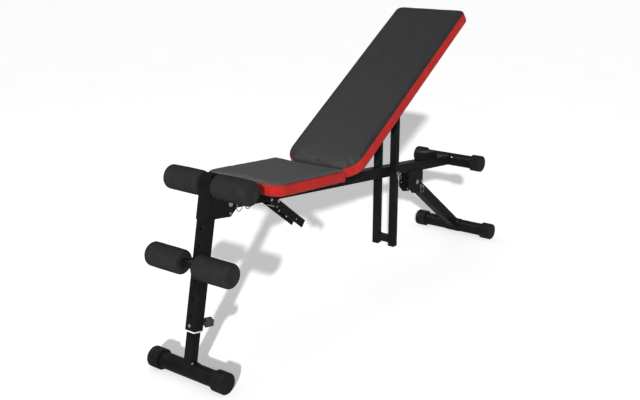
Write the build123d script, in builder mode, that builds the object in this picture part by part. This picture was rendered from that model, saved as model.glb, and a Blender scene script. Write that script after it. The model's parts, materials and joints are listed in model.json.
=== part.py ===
from build123d import *
from math import atan2, cos, degrees, hypot, radians, sin
import os

os.makedirs("parts", exist_ok=True)

# Adjustable weight bench. Millimetres; x is across the bench, y runs to the rear, z up, floor at 0.

# Feet
foot_radius = 25.0
foot_wall = 2.0
cap_radius = 32.0
cap_length = 43.0
cap_end = 6.0
cap_grooves = 26
groove_radius = 1.9
saddle_wall = 2.0
screw_radius = 2.0
screw_depth = 7.0
floor_axis = 31.2
front_foot_y = -789.0
rear_foot_y = 789.0
short_foot = 300.0
long_foot = 350.0

# Foot screws: place across the bench, and angle up from the front round the foot
front_screw_x = 19.0
front_screw_angle = 74.0
rear_screw_x = 23.0
rear_screw_angle = 47.6
upper_screw_x = 23.6
upper_screw_angle = 32.4

# Main tubes
main = 38.0
half_main = main / 2
inner_side = 30.0
bar_side = 25.0
wall = 2.0

# Beam
beam_front_y = -644.0
beam_front_z = 501.1
beam_rear_y = 721.0
beam_rear_z = 332.7
beam_angle = degrees(atan2(beam_rear_z - beam_front_z, beam_rear_y - beam_front_y))
beam_length = hypot(beam_rear_z - beam_front_z, beam_rear_y - beam_front_y)
plate_inner = 19.3
plate_outer = 22.3

# Front post: lower front corner, lean and length
post_y = -782.4
post_z = 152.5
post_angle = 77.2
post_length = 460.0
hole_pitch = 51.0
first_hole = 44.6
sleeve_t = first_hole + 3 * hole_pitch
knob_t = 15.0
upper_roller_t = 426.0
upper_roller_n = 22.0
lower_roller_n = -22.0

# Foam rollers
roller_tube_radius = 12.5
foam_radius = 37.0
foam_inner_x = 27.0
foam_outer_x = 160.0

# Pivots in the side view (y, z)
fold_pivot = (-614.0, 497.4)
rear_pivot = (430.0, 309.0)
seat_pivot = (-214.0, 476.0)
back_pivot = (-129.0, 470.0)
strut_pivot = (-474.6, 497.5)
pivot_radius = 5.0
small_pivot_radius = 4.0
running = 0.06
snug = 0.02

# Cushions
pad_width = 300.0
seat_length = 350.0
seat_height = 38.0
seat_angle = -5.6
seat_y = -378.5
seat_z = 501.7
back_angle = 31.7
back_start = -19.0
back_length = 850.0
back_height = 40.7
back_under = 14.9
board_height = 12.0
board_inset = 4.0

# Seat strut
strut_angle = -39.0
strut_inner = 19.5
strut_outer = 22.0
strut_hole_pitch = 45.0
strut_first_hole = 35.0
strut_hole_n = 3.5

# Backrest support
bar_bottom_y = 244.9
bar_bottom_z = 107.5
bar_angle = 88.8
bar_length = 608.0
bar_inner_x = 22.5
bar_centre_x = bar_inner_x + bar_side / 2
bar_pivot_t = 599.0
bar_pin_t = 281.6

# Rear strut
leg_angle = -37.7
leg_length = 453.7

# Pull pins and rings
pin_radius = 4.0
pin_fit = 0.05
ring_radius = 12.0
wire_radius = 1.3
ring_reach = 9.5
ring_bore = 2.3
neck_length = 9.5
collar_radius = 6.5


def across(y, z, angle, x=0):
    """Plane square across a member at this side-view angle; local x is across the bench."""
    slope = radians(angle)
    return Plane(origin=(x, y, z), x_dir=(1, 0, 0), z_dir=(0, cos(slope), sin(slope)))


def beside(y, z, angle, x):
    """Side-view plane at x; local x runs along the angle, local y above it."""
    slope = radians(angle)
    return Plane(origin=(x, y, z), x_dir=(0, cos(slope), sin(slope)), z_dir=(1, 0, 0))


def lying(y, z, angle):
    """Plane lying along the angle; local x is across the bench, local y runs rearward."""
    slope = radians(angle)
    return Plane(origin=(0, y, z), x_dir=(1, 0, 0), z_dir=(0, -sin(slope), cos(slope)))


def shifted(y, z, angle, along, above):
    """Side-view point reached by going along an angle and then above it."""
    slope = radians(angle)
    new_y = y + along * cos(slope) - above * sin(slope)
    new_z = z + along * sin(slope) + above * cos(slope)
    return new_y, new_z


def on_post(t, n):
    """Point t up the post and n behind its front face."""
    return shifted(post_y, post_z, post_angle, t, -n)


def beam_at(y):
    """Height of the beam's centre line at y."""
    return beam_front_z + (y - beam_front_y) * (beam_rear_z - beam_front_z) / (beam_rear_y - beam_front_y)


def tube(plane, width, depth, length, thickness=wall, corner=3.0):
    """Rectangular tube from the plane along its normal."""
    with BuildSketch(plane) as section:
        RectangleRounded(width, depth, corner)
        RectangleRounded(width - 2 * thickness, depth - 2 * thickness, 1.0, mode=Mode.SUBTRACT)
    extrude(section.sketch, amount=length)


def rod(x, y, z, radius, length, mode=Mode.ADD):
    """Round bar along +X from this point."""
    with BuildSketch(beside(y, z, 0, x)) as section:
        Circle(radius)
    extrude(section.sketch, amount=length, mode=mode)


def ring_bar(x, y, z, radius, bore, length):
    """Hollow round bar along +X from this point."""
    with BuildSketch(beside(y, z, 0, x)) as section:
        Circle(radius)
        Circle(bore, mode=Mode.SUBTRACT)
    extrude(section.sketch, amount=length)


def hexagon(x, y, z, radius, length, bore=0.0):
    """Hexagonal head or nut along +X from this point."""
    with BuildSketch(beside(y, z, 0, x)) as section:
        RegularPolygon(radius, 6)
        if bore:
            Circle(bore, mode=Mode.SUBTRACT)
    extrude(section.sketch, amount=length)


def plate(plane, points, thickness, rounding=0.0, mode=Mode.ADD):
    """Flat plate with this outline, its corners rounded."""
    with BuildSketch(plane) as outline:
        with BuildLine():
            Polyline(*points, close=True)
        make_face()
        if rounding:
            fillet(outline.vertices(), rounding)
    extrude(outline.sketch, amount=thickness, mode=mode)


def post_rod(t, n, radius, length, mode=Mode.ADD):
    """Round bar square to the post's back face, from n behind the front face rearward."""
    y, z = on_post(t, n)
    with BuildSketch(across(y, z, post_angle - 90)) as section:
        Circle(radius)
    extrude(section.sketch, amount=length, mode=mode)


def fluted_head(t, n, radius, length, flutes):
    """Grip of a screw knob with rounded flutes, square to the post's back face."""
    y, z = on_post(t, n)
    with BuildSketch(across(y, z, post_angle - 90)) as section:
        Circle(radius)
        with PolarLocations(radius + 1.2, flutes):
            Circle(radius * 0.26, mode=Mode.SUBTRACT)
    extrude(section.sketch, amount=length)


def radial_rod(x, y, z, angle, start, radius, length, mode=Mode.ADD):
    """Round bar that points away from a foot's axis, the angle measured up from the front."""
    slope = radians(angle)
    origin = (x, y - start * cos(slope), z + start * sin(slope))
    with BuildSketch(Plane(origin=origin, x_dir=(1, 0, 0), z_dir=(0, -cos(slope), sin(slope)))) as section:
        Circle(radius)
    extrude(section.sketch, amount=length, mode=mode)


def foot_screw(x, y, z, angle, surface):
    """Pan-head screw into a foot."""
    tip = foot_radius - screw_depth
    radial_rod(x, y, z, angle, surface, 3.6, 2.4)
    radial_rod(x, y, z, angle, tip, screw_radius, surface - tip)


def foot_screw_hole(x, y, z, angle):
    """Hole for a foot screw through everything outside the tube's bore."""
    radial_rod(x, y, z, angle, 15, screw_radius + snug, 20, Mode.SUBTRACT)


def saddle(y, z, angle, half_width, wrap):
    """Welded half shell that hugs a foot tube on the side the angle points to."""
    with BuildSketch(beside(y, z, angle - 90, -half_width)) as section:
        Circle(foot_radius + saddle_wall)
        Circle(foot_radius + snug, mode=Mode.SUBTRACT)
        with Locations((0, -wrap - 30)):
            Rectangle(100, 60, mode=Mode.SUBTRACT)
    extrude(section.sketch, amount=2 * half_width)


def foot_tube(y, z, length):
    """Round foot tube that ends inside its caps."""
    half = length / 2 - cap_end
    ring_bar(-half, y, z, foot_radius, foot_radius - foot_wall, 2 * half)


def foot_cap(y, z, length, side, on_floor):
    """Ribbed end cap over a foot tube, flat below when it stands on the floor."""
    start = side * (length / 2 - cap_length)
    base = Plane(origin=(start, y, z), x_dir=(0, 1, 0), z_dir=(side, 0, 0))
    with BuildSketch(base) as blank:
        Circle(cap_radius)
    extrude(blank.sketch, amount=cap_length)
    rims = edges().filter_by(GeomType.CIRCLE).sort_by(Axis.X)
    fillet(rims[-1] if side > 0 else rims[0], 5.0)
    fillet(rims[0] if side > 0 else rims[-1], 1.5)
    with BuildSketch(base) as bore:
        Circle(foot_radius + snug)
    extrude(bore.sketch, amount=cap_length - cap_end, mode=Mode.SUBTRACT)
    with BuildSketch(base) as grooves:
        with PolarLocations(cap_radius + 0.4, cap_grooves, 108 if side < 0 else -72, 324):
            Circle(groove_radius)
    extrude(grooves.sketch, amount=cap_length * 0.62, mode=Mode.SUBTRACT)
    if on_floor:
        with BuildSketch(beside(y, z - floor_axis - 5, 0, -300)) as below:
            Rectangle(100, 10)
        extrude(below.sketch, amount=600, mode=Mode.SUBTRACT)


def bolt(y, z, radius, start_x, head_x):
    """Hex-head bolt right across the bench, head on the right."""
    rod(start_x, y, z, radius, head_x - start_x)
    hexagon(head_x, y, z, radius * 1.9, radius * 1.1)


# ---------------------------------------------------------------- fixed frame

fold_lock = (-583.5, 492.0)
beam_pin = (-542.0, 488.0)
support_hole = shifted(bar_bottom_y, bar_bottom_z, bar_angle, bar_pin_t, 0)
rear_lock = shifted(rear_pivot[0], rear_pivot[1], leg_angle, 38.0, 0)

with BuildPart() as main_beam:
    tube(across(beam_front_y, beam_front_z, beam_angle), main, main, beam_length)
    rod(-60, beam_rear_y, beam_rear_z, foot_radius + snug, 120, Mode.SUBTRACT)
    rod(-40, *fold_pivot, pivot_radius + snug, 80, Mode.SUBTRACT)
    rod(-40, *fold_lock, pin_radius + 0.3, 80, Mode.SUBTRACT)
    rod(-40, *support_hole, pin_radius + 0.3, 80, Mode.SUBTRACT)
    rod(0, *beam_pin, pin_radius + pin_fit, 40, Mode.SUBTRACT)
main_beam.part.label = "main_beam"
export_step(main_beam.part, "parts/main_beam.step")

with BuildPart() as beam_plug:
    plug_back = across(beam_front_y, beam_front_z, beam_angle)
    plug_face = across(*shifted(beam_front_y, beam_front_z, beam_angle, -3, 0), beam_angle)
    with BuildSketch(plug_face) as flange:
        RectangleRounded(main, main, 3)
    extrude(amount=3)
    with BuildSketch(plug_back) as stub:
        RectangleRounded(main - 2 * wall - 0.1, main - 2 * wall - 0.1, 1)
        RectangleRounded(main - 4 * wall, main - 4 * wall, 1, mode=Mode.SUBTRACT)
    extrude(amount=14)
beam_plug.part.label = "beam_plug"
export_step(beam_plug.part, "parts/beam_plug.step")

with BuildPart() as upper_rear_foot:
    foot_tube(beam_rear_y, beam_rear_z, short_foot)
    foot_screw_hole(upper_screw_x, beam_rear_y, beam_rear_z, upper_screw_angle)
upper_rear_foot.part.label = "upper_rear_foot"
export_step(upper_rear_foot.part, "parts/upper_rear_foot.step")

with BuildPart() as upper_rear_cap_left:
    foot_cap(beam_rear_y, beam_rear_z, short_foot, -1, False)
upper_rear_cap_left.part.label = "upper_rear_cap_left"
export_step(upper_rear_cap_left.part, "parts/upper_rear_cap_left.step")

with BuildPart() as upper_rear_cap_right:
    foot_cap(beam_rear_y, beam_rear_z, short_foot, 1, False)
upper_rear_cap_right.part.label = "upper_rear_cap_right"
export_step(upper_rear_cap_right.part, "parts/upper_rear_cap_right.step")

bracket_outline = [
    (376, beam_at(376) - 12),
    (376, 297),
    (404, 270),
    (444, 261),
    (468, 275),
    (478, 299),
    (478, beam_at(478) - 12),
]
bracket_weld = [
    (380, beam_at(380) - 18),
    (474, beam_at(474) - 18),
    (474, beam_at(474) - 14),
    (380, beam_at(380) - 14),
]
with BuildPart() as rear_brackets:
    for side in (-1, 1):
        outer = plate_inner if side > 0 else -plate_outer
        plate(beside(0, 0, 0, outer), bracket_outline, plate_outer - plate_inner, 5)
        weld_x = half_main if side > 0 else -plate_inner
        plate(beside(0, 0, 0, weld_x), bracket_weld, plate_inner - half_main)
    rod(-40, *rear_pivot, pivot_radius + snug, 80, Mode.SUBTRACT)
    for swing in (0, -41.3, -142):
        lock = shifted(rear_pivot[0], rear_pivot[1], leg_angle + swing, 38.0, 0)
        rod(-40, *lock, pin_radius + pin_fit, 80, Mode.SUBTRACT)
    rod(0, 466, 304, 3 + snug, 40, Mode.SUBTRACT)
rear_brackets.part.label = "rear_brackets"
export_step(rear_brackets.part, "parts/rear_brackets.step")

rest_y = 536.0
rest_base = beam_at(rest_y) + half_main / cos(radians(beam_angle))
rest_outline = [(-54, 0), (-54, 22), (-46, 27), (30, 27), (54, 14), (54, 0)]
with BuildPart() as backrest_rest_block:
    plate(beside(rest_y, rest_base, beam_angle, -half_main), rest_outline, main)
    fillet(backrest_rest_block.edges().filter_by(Axis.X).sort_by(Axis.Z)[-4:], 2.0)
backrest_rest_block.part.label = "backrest_rest_block"
export_step(backrest_rest_block.part, "parts/backrest_rest_block.step")

hinge_base = [(-226, 450), (-226, 465), (-119, 452), (-119, 437)]
with BuildPart() as hinge_plates:
    for side in (-1, 1):
        inner = half_main if side > 0 else -half_main - 3
        with BuildSketch(beside(0, 0, 0, inner)) as ear:
            with BuildLine():
                Polyline(*hinge_base, close=True)
            make_face()
            with Locations((seat_pivot[0], seat_pivot[1] - 10)):
                Rectangle(16, 20)
            with Locations(seat_pivot):
                Circle(8)
            with Locations((back_pivot[0], back_pivot[1] - 12)):
                Rectangle(16, 24)
            with Locations(back_pivot):
                Circle(8)
        extrude(amount=3)
    rod(-40, *seat_pivot, small_pivot_radius + snug, 80, Mode.SUBTRACT)
    rod(-40, *back_pivot, pivot_radius + snug, 80, Mode.SUBTRACT)
hinge_plates.part.label = "hinge_plates"
export_step(hinge_plates.part, "parts/hinge_plates.step")

with BuildPart() as frame_pivot_bolts:
    bolt(*fold_pivot, pivot_radius, -30, plate_outer + 0.2)
    bolt(*rear_pivot, pivot_radius, -30, plate_outer)
    bolt(*seat_pivot, small_pivot_radius, -32, 25.4)
    bolt(*back_pivot, pivot_radius, -30, half_main + 3)
frame_pivot_bolts.part.label = "frame_pivot_bolts"
export_step(frame_pivot_bolts.part, "parts/frame_pivot_bolts.step")

with BuildPart() as frame_pivot_nuts:
    hexagon(-28, *fold_pivot, 9.5, 5.5, pivot_radius + snug)
    hexagon(-28, *rear_pivot, 9.5, 5.7, pivot_radius + snug)
    hexagon(-30.4, *seat_pivot, 7.6, 5, small_pivot_radius + snug)
    hexagon(-28, *back_pivot, 9.5, 6, pivot_radius + snug)
frame_pivot_nuts.part.label = "frame_pivot_nuts"
export_step(frame_pivot_nuts.part, "parts/frame_pivot_nuts.step")

with BuildPart() as frame_screws:
    foot_screw(upper_screw_x, beam_rear_y, beam_rear_z, upper_screw_angle, foot_radius)
    rod(plate_inner + 0.2, 466, 304, 3, plate_outer - plate_inner)
    rod(plate_outer, 466, 304, 4, 2)
frame_screws.part.label = "frame_screws"
export_step(frame_screws.part, "parts/frame_screws.step")

# ---------------------------------------------------------------- front leg

with BuildPart() as front_post:
    tube(across(*on_post(0, half_main), post_angle), main, main, post_length)
    for index in range(6):
        post_rod(first_hole + index * hole_pitch, -1, 4.0, main + 2, Mode.SUBTRACT)
    post_rod(knob_t, -1, 2.5 + snug, 10, Mode.SUBTRACT)
    post_rod(knob_t, main - 10, 4.1, 12, Mode.SUBTRACT)
    rod(-40, *on_post(upper_roller_t, upper_roller_n), roller_tube_radius + snug, 80, Mode.SUBTRACT)
front_post.part.label = "front_post"
export_step(front_post.part, "parts/front_post.step")

gusset_outline = [
    on_post(323, 1),
    on_post(330, main),
    (-612, 456),
    (-589.4, 472),
    (-577, 487),
    (-566, 504),
    (-569, 515),
    on_post(402, main),
    on_post(408, 1),
]
gusset_weld = [on_post(336, 16), on_post(336, 34), on_post(398, 34), on_post(398, 16)]
rivet_spot = (-614.0, 467.0)
with BuildPart() as gussets:
    for side in (-1, 1):
        outer = plate_inner if side > 0 else -plate_outer
        plate(beside(0, 0, 0, outer), gusset_outline, plate_outer - plate_inner, 3)
        weld_x = half_main if side > 0 else -plate_inner
        plate(beside(0, 0, 0, weld_x), gusset_weld, plate_inner - half_main)
    rod(-40, *fold_pivot, pivot_radius + running, 80, Mode.SUBTRACT)
    rod(-40, *rivet_spot, 3 + snug, 80, Mode.SUBTRACT)
    rod(-40, *fold_lock, pin_radius + pin_fit, 80, Mode.SUBTRACT)
gussets.part.label = "gussets"
export_step(gussets.part, "parts/gussets.step")

with BuildPart() as post_bush:
    with BuildSketch(across(*on_post(-4, half_main), post_angle)):
        RectangleRounded(main, main, 3)
        RectangleRounded(inner_side + 0.3, inner_side + 0.3, 3, mode=Mode.SUBTRACT)
    extrude(amount=4)
    with BuildSketch(across(*on_post(0, half_main), post_angle)):
        RectangleRounded(main - 2 * wall - 0.06, main - 2 * wall - 0.06, 1)
        RectangleRounded(inner_side + 0.3, inner_side + 0.3, 3, mode=Mode.SUBTRACT)
    extrude(amount=26)
    post_rod(knob_t, -1, 3.0, half_main, Mode.SUBTRACT)
    post_rod(knob_t, half_main, 4.2, half_main, Mode.SUBTRACT)
post_bush.part.label = "post_bush"
export_step(post_bush.part, "parts/post_bush.step")

with BuildPart() as knob_nut:
    post_rod(knob_t, main, 9, 8)
    post_rod(knob_t, main - 1, 4.1, 10, Mode.SUBTRACT)
knob_nut.part.label = "knob_nut"
export_step(knob_nut.part, "parts/knob_nut.step")

with BuildPart() as front_leg_screws:
    post_rod(knob_t, -2.4, 4.8, 2.4)
    post_rod(knob_t, 0, 2.5, 2.5)
    for side in (-1, 1):
        rod(19.5 if side > 0 else -plate_outer, *rivet_spot, 3, plate_outer - 19.5)
        rod(plate_outer if side > 0 else -plate_outer - 2, *rivet_spot, 4, 2)
front_leg_screws.part.label = "front_leg_screws"
export_step(front_leg_screws.part, "parts/front_leg_screws.step")

with BuildPart() as upper_roller_tube:
    ring_bar(-155, *on_post(upper_roller_t, upper_roller_n), roller_tube_radius, roller_tube_radius - 2, 310)
upper_roller_tube.part.label = "upper_roller_tube"
export_step(upper_roller_tube.part, "parts/upper_roller_tube.step")

# ---------------------------------------------------------------- inner leg and front foot

with BuildPart() as inner_leg_tube:
    tube(across(*on_post(-120, half_main), post_angle), inner_side, inner_side, 300)
    saddle(front_foot_y, floor_axis, post_angle, 23, -10)
    rod(-60, front_foot_y, floor_axis, foot_radius + snug, 120, Mode.SUBTRACT)
    for index in range(7):
        post_rod(-10 + 25 * index, -5, 4.0, main + 10, Mode.SUBTRACT)
    foot_screw_hole(front_screw_x, front_foot_y, floor_axis, front_screw_angle)
inner_leg_tube.part.label = "inner_leg_tube"
export_step(inner_leg_tube.part, "parts/inner_leg_tube.step")

with BuildPart() as front_foot_tube:
    foot_tube(front_foot_y, floor_axis, short_foot)
    foot_screw_hole(front_screw_x, front_foot_y, floor_axis, front_screw_angle)
front_foot_tube.part.label = "front_foot_tube"
export_step(front_foot_tube.part, "parts/front_foot_tube.step")

with BuildPart() as front_cap_left:
    foot_cap(front_foot_y, floor_axis, short_foot, -1, True)
front_cap_left.part.label = "front_cap_left"
export_step(front_cap_left.part, "parts/front_cap_left.step")

with BuildPart() as front_cap_right:
    foot_cap(front_foot_y, floor_axis, short_foot, 1, True)
front_cap_right.part.label = "front_cap_right"
export_step(front_cap_right.part, "parts/front_cap_right.step")

with BuildPart() as front_foot_screw:
    foot_screw(front_screw_x, front_foot_y, floor_axis, front_screw_angle, foot_radius + saddle_wall)
front_foot_screw.part.label = "front_foot_screw"
export_step(front_foot_screw.part, "parts/front_foot_screw.step")

with BuildPart() as leg_knob:
    post_rod(knob_t, 34.4, 4.0, 30)
    post_rod(knob_t, main + 8.5, 7.0, 21)
    fluted_head(knob_t, 67, 15, 20, 6)
leg_knob.part.label = "leg_knob"
export_step(leg_knob.part, "parts/leg_knob.step")

# ---------------------------------------------------------------- lower roller carriage

sleeve_inner = main + 0.6
sleeve_outer = sleeve_inner + 6
sleeve_height = 28.0
lower_roller = on_post(sleeve_t, lower_roller_n)
with BuildPart() as roller_sleeve:
    sleeve_start = across(*on_post(sleeve_t - sleeve_height / 2, half_main), post_angle)
    tube(sleeve_start, sleeve_outer, sleeve_outer, sleeve_height, 3.0, 4.0)
    with BuildSketch(beside(*on_post(sleeve_t, (lower_roller_n - 3.2) / 2), post_angle, -14)) as lug:
        Rectangle(24, -3.2 - lower_roller_n)
    extrude(amount=28)
    post_rod(sleeve_t, half_main + sleeve_outer / 2 - 0.5, 8, 3.5)
    post_rod(sleeve_t, half_main + 10, 4.1, 30, Mode.SUBTRACT)
    rod(-60, *lower_roller, roller_tube_radius + snug, 120, Mode.SUBTRACT)
roller_sleeve.part.label = "roller_sleeve"
export_step(roller_sleeve.part, "parts/roller_sleeve.step")

with BuildPart() as lower_roller_tube:
    ring_bar(-155, *lower_roller, roller_tube_radius, roller_tube_radius - 2, 310)
lower_roller_tube.part.label = "lower_roller_tube"
export_step(lower_roller_tube.part, "parts/lower_roller_tube.step")

with BuildPart() as carriage_knob:
    post_rod(sleeve_t, main + 0.5, 4.0, 8)
    post_rod(sleeve_t, main + 6.8, 6.0, 3)
    fluted_head(sleeve_t, main + 9, 9, 9, 6)
carriage_knob.part.label = "carriage_knob"
export_step(carriage_knob.part, "parts/carriage_knob.step")


def foam_roller(centre, side):
    """Closed-ended foam sleeve that turns on a roller tube."""
    length = foam_outer_x - foam_inner_x
    base = Plane(origin=(side * foam_inner_x, *centre), x_dir=(0, 1, 0), z_dir=(side, 0, 0))
    with BuildSketch(base) as blank:
        Circle(foam_radius)
    extrude(blank.sketch, amount=length)
    rims = edges().filter_by(GeomType.CIRCLE).sort_by(Axis.X)
    fillet(rims[-1] if side > 0 else rims[0], 12.0)
    fillet(rims[0] if side > 0 else rims[-1], 6.0)
    with BuildSketch(base) as bore:
        Circle(roller_tube_radius + 0.3)
    extrude(bore.sketch, amount=155.5 - foam_inner_x, mode=Mode.SUBTRACT)


upper_roller = on_post(upper_roller_t, upper_roller_n)
with BuildPart() as foam_upper_left:
    foam_roller(upper_roller, -1)
foam_upper_left.part.label = "foam_upper_left"
export_step(foam_upper_left.part, "parts/foam_upper_left.step")

with BuildPart() as foam_upper_right:
    foam_roller(upper_roller, 1)
foam_upper_right.part.label = "foam_upper_right"
export_step(foam_upper_right.part, "parts/foam_upper_right.step")

with BuildPart() as foam_lower_left:
    foam_roller(lower_roller, -1)
foam_lower_left.part.label = "foam_lower_left"
export_step(foam_lower_left.part, "parts/foam_lower_left.step")

with BuildPart() as foam_lower_right:
    foam_roller(lower_roller, 1)
foam_lower_right.part.label = "foam_lower_right"
export_step(foam_lower_right.part, "parts/foam_lower_right.step")

# ---------------------------------------------------------------- seat


def cushion_outline(width, length, front_corner, rear_corner):
    """Rounded rectangle with its own corner radius at each end; call inside a sketch."""
    Rectangle(width, length)
    ends = vertices().group_by(Axis.Y)
    fillet(ends[0], front_corner)
    ends = vertices().sort_by(Axis.Y)[-2:]
    fillet(ends, rear_corner)


seat_bolt_spots = [(38, -70), (-38, -70), (38, 118), (-38, 118)]
with BuildPart() as seat_pad:
    with BuildSketch(lying(seat_y, seat_z, seat_angle)):
        cushion_outline(pad_width, seat_length, 45, 11)
    extrude(amount=seat_height)
    with BuildSketch(lying(seat_y, seat_z, seat_angle)):
        cushion_outline(pad_width - 7.8, seat_length - 7.8, 41.1, 8)
    extrude(amount=board_height + 0.1, mode=Mode.SUBTRACT)
seat_pad.part.label = "seat_pad"
export_step(seat_pad.part, "parts/seat_pad.step")

with BuildPart() as seat_board:
    with BuildSketch(lying(seat_y, seat_z, seat_angle)):
        cushion_outline(pad_width - 8, seat_length - 8, 41, 8)
        with Locations(*seat_bolt_spots):
            Circle(3 + snug, mode=Mode.SUBTRACT)
    extrude(amount=board_height)
seat_board.part.label = "seat_board"
export_step(seat_board.part, "parts/seat_board.step")

rail_inner = 22.6
rail_thick = 2.5
with BuildPart() as seat_rails:
    for side in (-1, 1):
        low_x = rail_inner if side > 0 else -rail_inner - rail_thick
        with BuildSketch(beside(seat_y, seat_z, seat_angle, low_x)):
            with Locations((31, -4)):
                Rectangle(286, 8)
            with Locations((-95.2, -7)):
                Rectangle(18, 14)
            with Locations((-95.2, -13.6)):
                Circle(9)
            with Locations((166.2, -5)):
                Rectangle(17.6, 10)
            with Locations((166.2, -9.5)):
                Circle(8.8)
        extrude(amount=rail_thick)
        flange_x = rail_inner if side > 0 else -rail_inner - 26
        with BuildSketch(beside(seat_y, seat_z, seat_angle, flange_x)):
            with Locations((18, -rail_thick / 2)):
                Rectangle(260, rail_thick)
        extrude(amount=26)
    with BuildSketch(lying(seat_y, seat_z, seat_angle)):
        with Locations(*seat_bolt_spots):
            Circle(3 + snug)
    extrude(amount=-10, mode=Mode.SUBTRACT)
    rod(-40, *strut_pivot, small_pivot_radius + snug, 80, Mode.SUBTRACT)
    rod(-40, *seat_pivot, small_pivot_radius + running, 80, Mode.SUBTRACT)
seat_rails.part.label = "seat_rails"
export_step(seat_rails.part, "parts/seat_rails.step")

with BuildPart() as seat_bolts:
    with BuildSketch(lying(*shifted(seat_y, seat_z, seat_angle, 0, -rail_thick), seat_angle)):
        with Locations(*seat_bolt_spots):
            RegularPolygon(5.5, 6)
    extrude(amount=-4)
    with BuildSketch(lying(*shifted(seat_y, seat_z, seat_angle, 0, -rail_thick), seat_angle)):
        with Locations(*seat_bolt_spots):
            Circle(3)
    extrude(amount=12)
seat_bolts.part.label = "seat_bolts"
export_step(seat_bolts.part, "parts/seat_bolts.step")

with BuildPart() as strut_pivot_pins:
    for side in (-1, 1):
        rod(19.6 if side > 0 else -25.1, *strut_pivot, small_pivot_radius, 5.5)
        rod(25.1 if side > 0 else -28.1, *strut_pivot, 7, 3)
strut_pivot_pins.part.label = "strut_pivot_pins"
export_step(strut_pivot_pins.part, "parts/strut_pivot_pins.step")

# ---------------------------------------------------------------- seat strut

strut_outline = [
    (-10, -5),
    (-10, 5),
    (-4, 9.5),
    (12, 9.5),
    (32, 16.8),
    (259.5, 16.8),
    (259.5, -9.8),
    (-3, -9.8),
]
strut_rivet_spots = [(59.8, 0.2), (93.3, 11.0)]
with BuildPart() as seat_strut:
    for side in (-1, 1):
        low_x = strut_inner if side > 0 else -strut_outer
        plate(beside(*strut_pivot, strut_angle, low_x), strut_outline, strut_outer - strut_inner, 2)
    with BuildSketch(beside(*strut_pivot, strut_angle, -strut_outer)):
        with Locations((186.7, 15.55)):
            Rectangle(145.4, 2.5)
    extrude(amount=2 * strut_outer)
    rod(-40, *strut_pivot, small_pivot_radius + running, 80, Mode.SUBTRACT)
    for index in range(5):
        spot = shifted(*strut_pivot, strut_angle, strut_first_hole + index * strut_hole_pitch, strut_hole_n)
        rod(-40, *spot, pin_radius + pin_fit, 80, Mode.SUBTRACT)
    for along, above in strut_rivet_spots:
        rod(-40, *shifted(*strut_pivot, strut_angle, along, above), 3 + snug, 80, Mode.SUBTRACT)
    rod(-40, *shifted(*strut_pivot, strut_angle, 99, -6), 2.5 + snug, 80, Mode.SUBTRACT)
seat_strut.part.label = "seat_strut"
export_step(seat_strut.part, "parts/seat_strut.step")

with BuildPart() as strut_fittings:
    rod(-22.5, *shifted(*strut_pivot, strut_angle, 99, -6), 2.5, 45)
    for along, above in strut_rivet_spots:
        spot = shifted(*strut_pivot, strut_angle, along, above)
        for side in (-1, 1):
            rod(19.6 if side > 0 else -strut_outer, *spot, 3, strut_outer - 19.6)
            rod(strut_outer if side > 0 else -strut_outer - 2.5, *spot, 4.6, 2.5)
strut_fittings.part.label = "strut_fittings"
export_step(strut_fittings.part, "parts/strut_fittings.step")

# ---------------------------------------------------------------- backrest

back_middle = back_start + back_length / 2
back_plane = lying(*shifted(*back_pivot, back_angle, back_middle, back_under), back_angle)
strap_rows = [60, 300, 545]
strap_bolts = [(x, s - back_middle) for s in strap_rows for x in (-52, 52)]
with BuildPart() as backrest_pad:
    with BuildSketch(back_plane):
        cushion_outline(pad_width, back_length, 70, 28)
    extrude(amount=back_height)
    fillet(backrest_pad.edges().filter_by(Axis.X).sort_by(Axis.Z)[0], 4.0)
    with BuildSketch(back_plane):
        cushion_outline(pad_width - 11.8, back_length - 11.8, 64.1, 22)
    extrude(amount=board_height + 0.1, mode=Mode.SUBTRACT)
backrest_pad.part.label = "backrest_pad"
export_step(backrest_pad.part, "parts/backrest_pad.step")

with BuildPart() as backrest_board:
    with BuildSketch(back_plane):
        cushion_outline(pad_width - 12, back_length - 12, 64, 22)
        with Locations(*strap_bolts):
            Circle(3 + snug, mode=Mode.SUBTRACT)
    extrude(amount=board_height)
backrest_board.part.label = "backrest_board"
export_step(backrest_board.part, "parts/backrest_board.step")

support_pivot = shifted(bar_bottom_y, bar_bottom_z, bar_angle, bar_pivot_t, 0)
with BuildPart() as backrest_frame:
    with BuildSketch(beside(*back_pivot, back_angle, -18)):
        with Locations((282.5, 0.9)):
            Rectangle(565, 22)
        with Locations((0, 0.9)):
            Circle(11)
    extrude(amount=36)
    with BuildSketch(beside(*back_pivot, back_angle, -16)):
        with Locations((292.5, 0.9)):
            Rectangle(555, 18)
    extrude(amount=32, mode=Mode.SUBTRACT)
    with BuildSketch(beside(*back_pivot, back_angle, -64)):
        with Locations(*[(s, 13.4) for s in strap_rows]):
            Rectangle(28, 3)
    extrude(amount=128)
    with BuildSketch(back_plane):
        with Locations(*strap_bolts):
            Circle(3 + snug)
    extrude(amount=-5, mode=Mode.SUBTRACT)
    rod(-40, *back_pivot, pivot_radius + running, 80, Mode.SUBTRACT)
    rod(-40, *support_pivot, pivot_radius + snug, 80, Mode.SUBTRACT)
backrest_frame.part.label = "backrest_frame"
export_step(backrest_frame.part, "parts/backrest_frame.step")

with BuildPart() as backrest_bolts:
    with BuildSketch(lying(*shifted(*back_pivot, back_angle, back_middle, back_under - 3), back_angle)):
        with Locations(*strap_bolts):
            RegularPolygon(5.5, 6)
    extrude(amount=-4)
    with BuildSketch(lying(*shifted(*back_pivot, back_angle, back_middle, back_under - 3), back_angle)):
        with Locations(*strap_bolts):
            Circle(3)
    extrude(amount=12)
backrest_bolts.part.label = "backrest_bolts"
export_step(backrest_bolts.part, "parts/backrest_bolts.step")

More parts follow.
